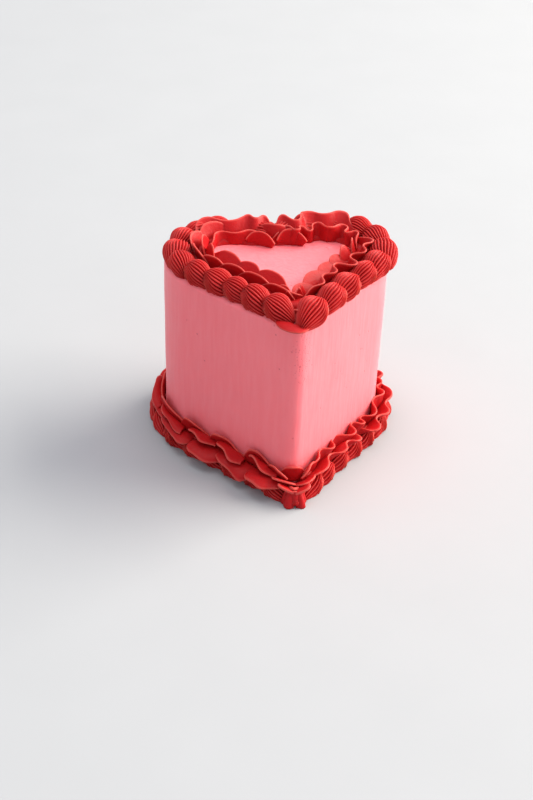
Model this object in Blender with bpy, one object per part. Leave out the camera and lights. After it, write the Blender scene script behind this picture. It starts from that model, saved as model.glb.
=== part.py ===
"""A tall heart-shaped cake with piped buttercream borders.

The cake stands on the XY plane with +Z up. The heart's tip points along -Y and its two lobes along +Y.
Five things are piped on the body: a border of ridged shells round the top edge, a leaf-tip frill inside it,
a border of shells round the foot, a second frill over those, and a small flower of petals at the foot's tip.
Every border follows the same heart, moved in or out by a stated distance.
"""

import math
import random

import bmesh
import bpy
from mathutils import Matrix, Vector

MM = 0.001

# The heart, in plan. Its two straight sides meet at the tip and run into round lobes. The sharp tip is at
# X = Y = 0 until the finished cake is centred on the origin.
CAKE_WIDTH = 156 * MM
CAKE_HEIGHT = 132 * MM
LOBE_RADIUS = 45.7 * MM
LOBE_OFFSET = CAKE_WIDTH / 2 - LOBE_RADIUS
TIP_HALF_ANGLE = math.radians(43)
TIP_ROUND = 8 * MM
CLEFT_ROUND = 7 * MM
TOP_EDGE_ROUND = 3 * MM
FOOT_EDGE_ROUND = 1 * MM
LOBE_Y = (LOBE_RADIUS + LOBE_OFFSET * math.cos(TIP_HALF_ANGLE)) / math.sin(TIP_HALF_ANGLE)

# Points on the heart's rounded tip, straight side, lobe and cleft, and all round the bead at the foot.
OUTLINE_POINTS = (4, 1, 20, 3)
BEAD_POINTS = (1, 1, 10, 1)
BEAD_STEPS = 30

# Neighbouring pieces stand this far apart.
GAP = 0.35 * MM

# The top border was piped a little to the right of the cake's middle.
TOP_BORDER_SHIFT = 2.5 * MM

# Piped shells: how many on the right and the left, where each row starts from the tip, how far in or out they
# run, and the size of one.
TOP_SHELLS = (11, 12)
TOP_SHELL_START = (7 * MM, 13 * MM)
TOP_SHELL_INSET = 6.0 * MM
TOP_SHELL_RISE = 5.4 * MM
BASE_SHELLS = (13, 13)
BASE_SHELL_START = (12 * MM, 12 * MM)
BASE_SHELL_OUTSET = 7.0 * MM
BASE_SHELL_RISE = 5.0 * MM
SHELL_LENGTH = 9.3 * MM
SHELL_WIDTH = 9.4 * MM
SHELL_HEIGHT = 8.0 * MM
TOP_SHELL_SIDES = 10
BASE_SHELL_SIDES = 8
SHELL_RINGS = 5
SHELL_RIDGE = 0.13
BEAD_HALF_WIDTH = 1.6 * MM
SHELL_CURL = math.radians(70)

# The foot's piping stands well out along the two front sides. Between these distances from the tip it comes
# closer, and round the lobes the shells keep this share of their outset, and the frill of its reach.
LOBE_EASE = (75 * MM, 125 * MM)
LOBE_SHELL_SHARE = 0.45
LOBE_FRILL_SHARE = 0.62

# Where a shell's ridges meet: at the curl where it starts and at its drawn-out tail (along, outwards, up).
SHELL_HEAD = Vector((-0.62, 0.62, -0.40)).normalized()
SHELL_TAIL = Vector((0.93, 0.05, -0.35)).normalized()
TAIL_STRETCH = 0.8
TAIL_DROP = 3.2 * MM

# Frills: two thin flaps from one root, pulled along in short scallops.
TOP_FRILL_INSET = 23.5 * MM
TOP_FRILL_CLEFT = 90 * MM
TOP_FRILL_SCALLOP = 16.5 * MM
TOP_FRILL_STEP = 3.4 * MM
BASE_FRILL_SCALLOP = 19.0 * MM
BASE_FRILL_STEP = 5.0 * MM

# What stands further out than this in a frill's section, in millimetres, comes closer round the lobes.
FRILL_ROOT = 3.0

# The flower of petals at the foot of the tip.
FLOWER_Y = -7.0 * MM
FLOWER_RADIUS = 12.0 * MM
FLOWER_PETALS = 7

COLOURS = {
    "pink_buttercream": (0.80, 0.20, 0.24, 1.0),
    "red_buttercream": (0.50, 0.02, 0.02, 1.0),
}


def clear_scene():
    for old in list(bpy.data.objects):
        bpy.data.objects.remove(old)


def new_collection(name):
    made = bpy.data.collections.new(name)
    bpy.context.scene.collection.children.link(made)
    return made


def buttercream(name, roughness):
    made = bpy.data.materials.new(name)
    made.use_nodes = True
    shader = made.node_tree.nodes["Principled BSDF"]
    shader.inputs["Base Color"].default_value = COLOURS[name]
    shader.inputs["Roughness"].default_value = roughness
    shader.inputs["Metallic"].default_value = 0.0
    return made


def heart_side(inset, tip_round, cleft_round):
    """The heart's right half, from tip to cleft. A stretch is (start, end, centre, radius, from angle, to angle).

    An angle is that of the outward normal. The line has no centre, and the cleft's radius is negative.
    """
    alpha = TIP_HALF_ANGLE
    lobe = Vector((LOBE_OFFSET, LOBE_Y))
    lobe_radius = LOBE_RADIUS - inset
    tip = Vector((0, (inset + tip_round) / math.sin(alpha)))
    side_normal = Vector((math.cos(alpha), -math.sin(alpha)))
    line = (tip + side_normal * tip_round, lobe + side_normal * lobe_radius)
    reach = math.sqrt((lobe_radius + cleft_round) ** 2 - LOBE_OFFSET**2)
    cleft = Vector((0, LOBE_Y + reach))
    cleft_angle = math.atan2(reach, -LOBE_OFFSET)
    pieces = [
        (None, None, tip, tip_round, -math.pi / 2, -alpha),
        (line[0], line[1], None, 0, -alpha, -alpha),
        (None, None, lobe, lobe_radius, -alpha, cleft_angle),
        (None, None, cleft, -cleft_round, cleft_angle, math.pi / 2),
    ]
    return [piece for piece in pieces if piece_length(piece) > 1e-6]


def piece_length(piece):
    start, end, centre, radius, from_angle, to_angle = piece
    if centre is None:
        return (end - start).length
    return abs(radius * (to_angle - from_angle))


def side_length(side):
    return sum(piece_length(piece) for piece in side)


def station(side, distance):
    """(point, outward normal) at a distance from the tip along a right half."""
    for piece in side:
        length = piece_length(piece)
        if distance <= length or piece is side[-1]:
            break
        distance -= length
    start, end, centre, radius, from_angle, to_angle = piece
    share = min(max(distance / length, 0.0), 1.0)
    angle = from_angle + share * (to_angle - from_angle)
    normal = Vector((math.cos(angle), math.sin(angle)))
    if centre is None:
        return start.lerp(end, share), normal
    return centre + normal * radius, normal


def ring_station(side, distance):
    """The same for the whole ring: up the right half, then down the mirrored left half."""
    length = side_length(side)
    distance %= 2 * length
    if distance <= length:
        return station(side, distance)
    point, normal = station(side, 2 * length - distance)
    return Vector((-point.x, point.y)), Vector((-normal.x, normal.y))


def front_share(distance, length, lobe_share):
    """1 along the front sides, easing to the lobes' share. Distance is along the ring, length a half's."""
    distance %= 2 * length
    distance = min(distance, 2 * length - distance)
    start, end = LOBE_EASE
    ease = min(max((distance - start) / (end - start), 0.0), 1.0)
    return 1 + (lobe_share - 1) * ease * ease * (3 - 2 * ease)


def placed(point, height):
    return Vector((point.x, point.y, height))


def mesh_object(name, bm, collection):
    mesh = bpy.data.meshes.new(name)
    bm.to_mesh(mesh)
    bm.free()
    made = bpy.data.objects.new(name, mesh)
    collection.objects.link(made)
    return made


def loft(name, sections, collection, ring=False):
    """A closed solid through sections of equally many points. A ring joins its last section to its first."""
    bm = bmesh.new()
    rows = [[bm.verts.new(point) for point in section] for section in sections]
    pairs = list(zip(rows, rows[1:]))
    if ring:
        pairs.append((rows[-1], rows[0]))
    for low, high in pairs:
        for i in range(len(low)):
            j = (i + 1) % len(low)
            bm.faces.new((low[i], low[j], high[j], high[i]))
    if not ring:
        bm.faces.new(rows[0][::-1])
        bm.faces.new(rows[-1])
    bmesh.ops.triangulate(bm, faces=bm.faces)
    bmesh.ops.recalc_face_normals(bm, faces=bm.faces)
    return mesh_object(name, bm, collection)


def heart_outline(inset, tip_round, cleft_round, counts):
    """Points round the heart at an inset, with the stated number of points on each stretch."""
    right = []
    side = heart_side(inset, tip_round, cleft_round)
    for piece, count in zip(side, counts[-len(side):]):
        length = piece_length(piece)
        right += [station([piece], length * k / count)[0] for k in range(count)]
    right.append(station(side, side_length(side))[0])
    left = [Vector((-p.x, p.y)) for p in reversed(right[1:-1])]
    return right + left


def cake_body(collection, material):
    """The iced cake: the heart's outline as a filled curve, extruded, with soft top and foot edges."""
    outline = heart_outline(0, TIP_ROUND, CLEFT_ROUND, OUTLINE_POINTS)
    curve = bpy.data.curves.new("cake_outline", "CURVE")
    curve.dimensions = "2D"
    curve.fill_mode = "BOTH"
    curve.extrude = CAKE_HEIGHT / 2
    spline = curve.splines.new("POLY")
    spline.points.add(len(outline) - 1)
    spline.use_cyclic_u = True
    for point, at in zip(spline.points, outline):
        point.co = (*placed(at, 0), 1)
    guide = bpy.data.objects.new("cake_outline", curve)
    guide.location.z = CAKE_HEIGHT / 2
    collection.objects.link(guide)
    bpy.context.view_layer.update()
    graph = bpy.context.evaluated_depsgraph_get()
    mesh = bpy.data.meshes.new_from_object(guide.evaluated_get(graph))
    mesh.transform(guide.matrix_world)
    bpy.data.objects.remove(guide)
    bm = bmesh.new()
    bm.from_mesh(mesh)
    bmesh.ops.remove_doubles(bm, verts=bm.verts, dist=0.01 * MM)
    bmesh.ops.dissolve_limit(bm, angle_limit=math.radians(1), verts=bm.verts, edges=bm.edges)
    top = [e for e in bm.edges if all(v.co.z > CAKE_HEIGHT - MM for v in e.verts)]
    bmesh.ops.bevel(bm, geom=top, offset=TOP_EDGE_ROUND, segments=3, profile=0.5, affect="EDGES")
    foot = [e for e in bm.edges if all(v.co.z < 0.1 * MM for v in e.verts)]
    bmesh.ops.bevel(bm, geom=foot, offset=FOOT_EDGE_ROUND, segments=1, profile=0.5, affect="EDGES")
    bmesh.ops.recalc_face_normals(bm, faces=bm.faces)
    made = mesh_object("cake_body", bm, collection)
    made.data.materials.append(material)
    made.data.shade_smooth()
    made.data.set_sharp_from_angle(angle=math.radians(40))
    return made


def body_cutter(collection):
    """The cake grown by the gap, which every border is cut back from."""
    counts = OUTLINE_POINTS
    sections = []
    for height, inset in (
        (-5 * MM, -GAP),
        (CAKE_HEIGHT - TOP_EDGE_ROUND, -GAP),
        (CAKE_HEIGHT - 1.0 * MM, 0.5 * MM),
        (CAKE_HEIGHT + GAP, TOP_EDGE_ROUND * 0.85),
    ):
        outline = heart_outline(inset, TIP_ROUND - inset, CLEFT_ROUND + inset, counts)
        sections.append([placed(p, height) for p in outline])
    return loft("body_cutter", sections, collection)


def floor_cutter(collection):
    """Everything under the surface that the cake stands on."""
    bm = bmesh.new()
    bmesh.ops.create_cube(bm, size=1)
    bmesh.ops.scale(bm, vec=(0.5, 0.5, 0.04), verts=bm.verts)
    bmesh.ops.translate(bm, vec=(0, 0.07, -0.02), verts=bm.verts)
    return mesh_object("floor_cutter", bm, collection)


def lens(direction, down, pull):
    """Slides directions round a sphere towards 'down'. Both poles come closer together and no two cross."""
    along = direction.dot(down)
    side = direction - down * along
    if side.length < 1e-6:
        return direction
    moved = (along + pull) / (1 + pull * along)
    return down * moved + side.normalized() * math.sqrt(max(0.0, 1 - moved**2))


def shell(name, origin, along, outward, size, sides, collection):
    """One piped shell: a ridged ball, its poles slid to the curl and the tail, and the tail drawn out."""
    down = (SHELL_HEAD + SHELL_TAIL).normalized()
    cross = down.cross(SHELL_TAIL).normalized()
    fore = cross.cross(down)
    pull = SHELL_TAIL.dot(down)
    crowding = math.sqrt((1 - pull) / (1 + pull))
    bm = bmesh.new()
    bmesh.ops.create_uvsphere(bm, u_segments=sides, v_segments=SHELL_RINGS, radius=1)
    for vertex in bm.verts:
        x, y, z = vertex.co
        ring = math.hypot(x, y)
        turn = math.atan2(y, x)
        ridge = 1 + SHELL_RIDGE * math.cos(turn * sides / 2) * min(1, 1.5 * ring)
        turn += SHELL_CURL * (0.5 + 0.5 * z) ** 3
        turn = 2 * math.atan2(crowding * math.sin(turn / 2), math.cos(turn / 2))
        direction = cross * math.sin(turn) * ring - down * math.cos(turn) * ring - fore * z
        direction = lens(direction, down, pull)
        drawn = max(0.0, direction.dot(SHELL_TAIL))
        local = Vector((
            direction.x * SHELL_LENGTH * (1 + TAIL_STRETCH * drawn**2),
            direction.y * SHELL_WIDTH,
            direction.z * SHELL_HEIGHT,
        )) * ridge
        local.z -= TAIL_DROP * drawn**2
        vertex.co = origin + (along * local.x + outward * local.y + Vector((0, 0, local.z))) * size
    bmesh.ops.recalc_face_normals(bm, faces=bm.faces)
    return mesh_object(name, bm, collection)


def shell_places(path, counts, starts, outset, seed):
    """(point, along, outward, size) of each shell on both sides. Both rows were piped from cleft to tip."""
    draw = random.Random(seed)
    length = side_length(path)
    places = []
    for mirror, count, first in zip((1, -1), counts, starts):
        pitch = (length - first) / (count - 0.58)
        for k in range(count):
            distance = first + (k + draw.uniform(-0.07, 0.07)) * pitch
            point, normal = station(path, distance)
            point = point + normal * outset * front_share(distance, length, LOBE_SHELL_SHARE)
            yaw = draw.uniform(-0.12, 0.12) + 0.10
            outward = Vector((normal.x * math.cos(yaw) - normal.y * math.sin(yaw),
                              normal.x * math.sin(yaw) + normal.y * math.cos(yaw), 0))
            along = Vector((outward.y, -outward.x, 0))
            size = draw.uniform(0.93, 1.06)
            point = Vector((point.x * mirror, point.y))
            outward.x *= mirror
            along.x *= mirror
            places.append((point, along, outward, size))
    return places


def apply_modifiers(target):
    """Replaces the object's mesh by what its modifiers make of it."""
    bpy.context.view_layer.update()
    graph = bpy.context.evaluated_depsgraph_get()
    made = bpy.data.meshes.new_from_object(target.evaluated_get(graph))
    target.modifiers.clear()
    target.data = made


def union(target, collection, solver="EXACT"):
    """Fuses the collection's objects into the target, and removes them."""
    join = target.modifiers.new("join", "BOOLEAN")
    join.operation = "UNION"
    join.operand_type = "COLLECTION"
    join.collection = collection
    join.solver = solver
    apply_modifiers(target)
    for piece in list(collection.objects):
        bpy.data.objects.remove(piece)
    bpy.data.collections.remove(collection)


def cut(target, cutter, operation="DIFFERENCE", solver="EXACT"):
    step = target.modifiers.new("cut", "BOOLEAN")
    step.operation = operation
    step.object = cutter
    step.solver = solver
    apply_modifiers(target)


def drop_scraps(target):
    """Keeps the largest connected body of a mesh."""
    bm = bmesh.new()
    bm.from_mesh(target.data)
    left = set(bm.verts)
    bodies = []
    while left:
        seed = left.pop()
        body, edge = {seed}, [seed]
        while edge:
            vertex = edge.pop()
            for link in vertex.link_edges:
                other = link.other_vert(vertex)
                if other in left:
                    left.remove(other)
                    body.add(other)
                    edge.append(other)
        bodies.append(body)
    bodies.sort(key=len)
    print(f"{target.name}: scraps dropped, by vertices: {[len(body) for body in bodies[:-1]]}")
    for body in bodies[:-1]:
        bmesh.ops.delete(bm, geom=list(body), context="VERTS")
    bm.to_mesh(target.data)
    bm.free()


def finish(target, material, angle=35):
    drop_scraps(target)
    target.data.materials.clear()
    target.data.materials.append(material)
    target.data.shade_smooth()
    target.data.set_sharp_from_angle(angle=math.radians(angle))


def bead(name, outline, low, high, shift, collection):
    """The bead that runs on under the shells from one to the next, along a closed outline."""
    sections = []
    for k, point in enumerate(outline):
        ahead = outline[(k + 1) % len(outline)] - outline[k - 1]
        across = Vector((ahead.y, -ahead.x)).normalized() * BEAD_HALF_WIDTH
        corners = ((across, low), (across * 0.7, high), (-across * 0.7, high), (-across, low))
        sections.append([placed(point + out, up) + Vector((shift, 0, 0)) for out, up in corners])
    return loft(name, sections, collection, ring=True)


def foot_line(path):
    """Points along the middle of the foot's row of shells, all round."""
    length = side_length(path)
    line = []
    for k in range(BEAD_STEPS):
        distance = (k + 0.5) * 2 * length / BEAD_STEPS
        point, normal = ring_station(path, distance)
        line.append(point + normal * BASE_SHELL_OUTSET * front_share(distance, length, LOBE_SHELL_SHARE))
    return line


def shell_border(name, places, outline, rise, shift, sides, collection):
    """A row of shells fused into one node."""
    pieces = new_collection(name + "_pieces")
    bead(name + "_bead", outline, rise - 4.5 * MM, rise + 1.5 * MM, shift, pieces)
    first = None
    for k, (point, along, outward, size) in enumerate(places):
        home = collection if first is None else pieces
        origin = placed(point, rise) + Vector((shift, 0, 0))
        made = shell(name if first is None else f"{name}_{k}", origin, along, outward, size, sides, home)
        first = first or made
    union(first, pieces)
    return first


def ring_cutter(name, section, collection):
    """A ring round the heart whose section is a list of (distance out from the cake's side, height)."""
    sections = []
    outlines = []
    for out, height in section:
        tip_round = max(TIP_ROUND + out, 1 * MM)
        cleft_round = max(CLEFT_ROUND - out, 0.5 * MM)
        outline = heart_outline(-out, tip_round, cleft_round, (6, 4, 28, 3))
        outlines.append([placed(p, height) for p in outline])
    for k in range(len(outlines[0])):
        sections.append([outline[k] for outline in outlines])
    return loft(name, sections, collection, ring=True)


def top_funnel(name, grow, collection):
    """The space inside the top shells that the frill stands in, wider towards the top."""
    sections = []
    for inset, rise, cleft in ((17.0, -1, 45), (17.0, 5, 45), (14.0, 12, 40), (8.5, 24, 35)):
        inset = inset * MM - grow
        outline = heart_outline(inset, 2 * MM, cleft * MM - grow, (2, 2, 20, 5))
        spots = [placed(p, CAKE_HEIGHT + rise * MM) + Vector((TOP_BORDER_SHIFT, 0, 0)) for p in outline]
        sections.append(spots)
    return loft(name, sections, collection)


def frill(name, side, pitch, step, profile, base_height, shift, lobe_share, seed, collection):
    """A ring of thin flaps from one root. Each scallop starts under the last one and ends over the next."""
    length = 2 * side_length(side)
    scallops = round(length / pitch)
    draw = random.Random(seed)
    heights = [draw.uniform(0.86, 1.06) for _ in range(scallops)]
    tilts = [draw.uniform(0.6, 1.3) for _ in range(scallops)]
    steps = round(length / step)
    sections = []
    for k in range(steps):
        at = k * scallops / steps
        index, share = int(at) % scallops, at % 1
        rise = math.sin(math.pi * share) ** 0.5 * heights[index]
        tilt = (share - 0.5) * tilts[index]
        point, normal = ring_station(side, length * k / steps)
        reach = front_share(length * k / steps, length / 2, lobe_share)
        section = []
        for out, up, loose in profile:
            out *= reach if out > FRILL_ROOT else 1
            lift = up * (1 - 0.42 * loose * (1 - rise))
            lean = out + loose * math.copysign(4.2, out) * tilt
            spot = placed(point + normal * lean * MM, base_height + lift * MM)
            section.append(spot + Vector((shift, 0, 0)))
        sections.append(section)
    return loft(name, sections, collection, ring=True)


# Sections of the frills as (out, up, share of the scallops' movement), from the inner foot to the outer.
TOP_FRILL_PROFILE = [
    (-5.4, 0.35, 0.0),
    (-4.4, 5.0, 0.2),
    (-7.0, 14.4, 1.0),
    (-5.4, 15.0, 1.0),
    (0.6, 4.6, 0.0),
    (6.4, 14.4, 1.0),
    (8.2, 13.4, 1.0),
    (6.2, 5.0, 0.2),
    (6.0, 0.35, 0.0),
]

BASE_FRILL_PROFILE = [
    (0.6, 12.6, 0.0),
    (0.9, 22.5, 0.7),
    (2.8, 23.5, 0.7),
    (5.0, 18.6, 0.1),
    (12.0, 19.4, 0.8),
    (13.4, 17.6, 0.8),
    (6.0, 14.8, 0.0),
]


def flower(collection):
    """Petals pulled out and down from one middle, in front of the tip."""
    pieces = new_collection("flower_pieces")
    middle = Vector((0, FLOWER_Y))
    first = None
    draw = random.Random(5)
    for k in range(FLOWER_PETALS + 1):
        bm = bmesh.new()
        bmesh.ops.create_uvsphere(bm, u_segments=6, v_segments=5, radius=1)
        heading = math.radians(-200 + 220 * k / (FLOWER_PETALS - 1))
        outward = Vector((math.cos(heading), math.sin(heading), 0))
        flat = Vector((-outward.y, outward.x, 0))
        if k == FLOWER_PETALS:
            outward, flat = Vector((1, 0, 0)), Vector((0, 1, 0))
        tall = draw.uniform(6.5, 8.0) * MM
        for vertex in bm.verts:
            x, y, z = vertex.co
            if k == FLOWER_PETALS:
                local = outward * x * 6 * MM + flat * y * 6 * MM
                lift = 7.5 * MM + z * 7.3 * MM
            else:
                local = outward * (6.0 + 6.0 * x) * MM + flat * y * 3.0 * MM
                lift = 8.0 * MM + z * tall - 2.2 * MM * x
            vertex.co = placed(middle, lift) + local
        bmesh.ops.recalc_face_normals(bm, faces=bm.faces)
        home = collection if first is None else pieces
        made = mesh_object("tip_flower" if first is None else f"petal_{k}", bm, home)
        first = first or made
    union(first, pieces)
    return first


def flower_zone(name, radius, collection):
    bm = bmesh.new()
    bmesh.ops.create_cone(bm, cap_ends=True, segments=20, radius1=radius, radius2=radius, depth=60 * MM)
    bmesh.ops.translate(bm, vec=placed(Vector((0, FLOWER_Y)), 20 * MM), verts=bm.verts)
    return mesh_object(name, bm, collection)


def centre(collection):
    """Moves every mesh so that the origin is below the middle of the finished cake."""
    spots = [vertex.co for made in collection.objects for vertex in made.data.vertices]
    middle = [(min(spot[i] for spot in spots) + max(spot[i] for spot in spots)) / 2 for i in (0, 1)]
    for made in collection.objects:
        made.data.transform(Matrix.Translation((-middle[0], -middle[1], 0)))


def build():
    clear_scene()
    parts = new_collection("heart_cake")
    helpers = new_collection("cutters")
    pink = buttercream("pink_buttercream", 0.45)
    red = buttercream("red_buttercream", 0.40)

    cake_body(parts, pink)
    body = body_cutter(helpers)
    ground = floor_cutter(helpers)

    path = heart_side(TOP_SHELL_INSET, 1 * MM, 9 * MM)
    places = shell_places(path, TOP_SHELLS, TOP_SHELL_START, 0, seed=11)
    outline = heart_outline(TOP_SHELL_INSET, 1 * MM, 9 * MM, BEAD_POINTS)
    rise = CAKE_HEIGHT + TOP_SHELL_RISE
    top_shells = shell_border("top_shells", places, outline, rise, TOP_BORDER_SHIFT, TOP_SHELL_SIDES, parts)
    cut(top_shells, body)
    cut(top_shells, top_funnel("shell_limit", GAP, helpers))
    finish(top_shells, red)

    path = heart_side(TOP_FRILL_INSET, 6 * MM, TOP_FRILL_CLEFT)
    top_frill = frill(
        "top_frill", path, TOP_FRILL_SCALLOP, TOP_FRILL_STEP, TOP_FRILL_PROFILE, CAKE_HEIGHT,
        TOP_BORDER_SHIFT, 1, 3, parts,
    )
    cut(top_frill, top_funnel("frill_limit", 0, helpers), "INTERSECT")
    finish(top_frill, red)

    zone = flower_zone("flower_zone", FLOWER_RADIUS + GAP, helpers)
    over_shells = ring_cutter(
        "over_shells",
        [(x * MM, z * MM) for x, z in ((-4, 11.6), (6, 14.0), (13, 17.4), (24, 20), (24, 45), (-4, 45))],
        helpers,
    )
    path = heart_side(0, TIP_ROUND, CLEFT_ROUND)
    places = shell_places(path, BASE_SHELLS, BASE_SHELL_START, BASE_SHELL_OUTSET, seed=23)
    outline = foot_line(path)
    base_shells = shell_border("base_shells", places, outline, BASE_SHELL_RISE, 0, BASE_SHELL_SIDES, parts)
    cut(base_shells, body)
    cut(base_shells, ground)
    cut(base_shells, over_shells)
    cut(base_shells, zone)
    finish(base_shells, red)

    path = heart_side(0, TIP_ROUND, 9 * MM)
    base_frill = frill(
        "base_frill", path, BASE_FRILL_SCALLOP, BASE_FRILL_STEP, BASE_FRILL_PROFILE, 0, 0,
        LOBE_FRILL_SHARE, 8, parts,
    )
    cut(base_frill, body)
    cut(base_frill, zone)
    finish(base_frill, red)

    tip_flower = flower(parts)
    cut(tip_flower, body)
    cut(tip_flower, ground)
    cut(tip_flower, flower_zone("flower_limit", FLOWER_RADIUS, helpers), "INTERSECT")
    finish(tip_flower, red)

    centre(parts)
    for helper in helpers.objects:
        helper.hide_render = True
        helper.display_type = "WIRE"


build()
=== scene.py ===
# %% [markdown]
# # A heart shaped buttercream cake
#
# The cake is a tall heart under smooth pink buttercream. Red buttercream is piped on it: a row of ridged
# shells round the top edge with a double frill inside them, and the same two round the foot. The packed
# model already has every part in its place. This lesson gives each part its real surface: fine ridges, thin
# petals, soft edges and the finish of whipped butter.

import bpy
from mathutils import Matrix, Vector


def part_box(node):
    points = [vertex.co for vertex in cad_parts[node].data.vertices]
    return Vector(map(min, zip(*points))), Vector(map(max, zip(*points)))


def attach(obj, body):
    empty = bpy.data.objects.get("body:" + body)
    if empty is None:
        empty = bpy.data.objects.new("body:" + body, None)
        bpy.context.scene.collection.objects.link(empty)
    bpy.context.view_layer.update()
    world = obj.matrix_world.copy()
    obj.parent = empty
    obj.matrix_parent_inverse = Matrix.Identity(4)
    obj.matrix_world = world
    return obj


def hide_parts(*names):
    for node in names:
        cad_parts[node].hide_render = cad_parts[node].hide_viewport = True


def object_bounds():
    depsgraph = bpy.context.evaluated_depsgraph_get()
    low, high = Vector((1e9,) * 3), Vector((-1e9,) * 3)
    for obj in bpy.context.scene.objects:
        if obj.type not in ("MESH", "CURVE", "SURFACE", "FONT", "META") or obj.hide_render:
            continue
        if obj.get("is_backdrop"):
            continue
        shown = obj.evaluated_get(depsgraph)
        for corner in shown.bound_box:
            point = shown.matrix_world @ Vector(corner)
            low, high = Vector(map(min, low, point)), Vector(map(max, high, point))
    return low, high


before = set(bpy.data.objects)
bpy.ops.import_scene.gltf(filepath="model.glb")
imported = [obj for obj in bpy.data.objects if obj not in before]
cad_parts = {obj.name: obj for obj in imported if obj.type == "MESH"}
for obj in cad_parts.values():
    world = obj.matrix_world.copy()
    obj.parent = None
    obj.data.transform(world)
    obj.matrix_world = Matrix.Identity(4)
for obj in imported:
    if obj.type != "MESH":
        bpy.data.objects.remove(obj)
cad_box = [list(corner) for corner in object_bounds()]
print("nodes:", sorted(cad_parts))
print("CAD box in metres:", cad_box)

# %% Tools of the lesson
import math
import random

import bpy
import numpy as np
from mathutils import Matrix, Vector

# %% [markdown]
# ## One ruler for everything
#
# A cake decorator thinks in millimetres from the tip of the heart, so all shapes here are worked out in that
# frame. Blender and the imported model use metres. The tip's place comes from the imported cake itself, so that
# the piping lands where the model says.

# %% The tip of the heart
MM = 0.001
low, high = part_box("cake_body")
TIP = np.array([(low.x + high.x) / 2, high.y - 147.3 * MM, 0.0])
CAKE_HEIGHT = 132.0
print("tip of the heart in metres:", TIP.round(4))

# %% [markdown]
# ## Colours and nodes
#
# Colours are picked as they look on a screen, in sRGB hex, and the shader works in linear light. One function
# turns the first into the second. A second one adds a shader node with its settings and its links, so that a
# material reads as a short list.

# %% Helpers for materials
def linear(colour):
    """sRGB hex to linear light: c / 12.92 for a channel c below 0.04045, else ((c + 0.055) / 1.055) ^ 2.4."""
    channels = np.array([int(colour[i:i + 2], 16) for i in (1, 3, 5)]) / 255
    light = np.where(channels < 0.04045, channels / 12.92, ((channels + 0.055) / 1.055) ** 2.4)
    return (*light.tolist(), 1.0)


def add(tree, kind, inputs=None, **settings):
    """Adds one node. Settings are its own properties; inputs are values, or the sockets to link from."""
    node = tree.nodes.new("ShaderNode" + kind)
    for name, value in settings.items():
        setattr(node, name, value)
    for name, value in (inputs or {}).items():
        if isinstance(value, bpy.types.NodeSocket):
            tree.links.new(value, node.inputs[name])
        else:
            node.inputs[name].default_value = value
    return node


def new_material(name):
    """An empty material whose Principled shader is ready to be set."""
    material = bpy.data.materials.new(name)
    material.use_nodes = True
    return material, material.node_tree, material.node_tree.nodes["Principled BSDF"]


# %% [markdown]
# ## Pink buttercream, smoothed with a scraper
#
# The coat is butter and sugar, whipped and tinted, then drawn smooth with a warm scraper. It has a satin
# gloss, light sinks a few millimetres into it, and the scraper leaves faint upright streaks on the side and a
# few burst air bubbles. Beside the front edge it tore a small rough patch. A plain colour would look like
# plastic, so the tint drifts a little, a stretched noise makes the streaks, and two cell patterns make the
# bubbles and the patch: one with most of its cells masked out, and a finer one that shows in the patch alone.
# The bubbles and the crumbs of the patch are also coloured a deeper pink in their hollows: painted shade.

# %% Pink buttercream
PATCH = np.array([4.0, 4.0, 340 / 3]) * MM
PATCH_SQUASH = np.array([1.0, 1.0, 0.30])


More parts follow.
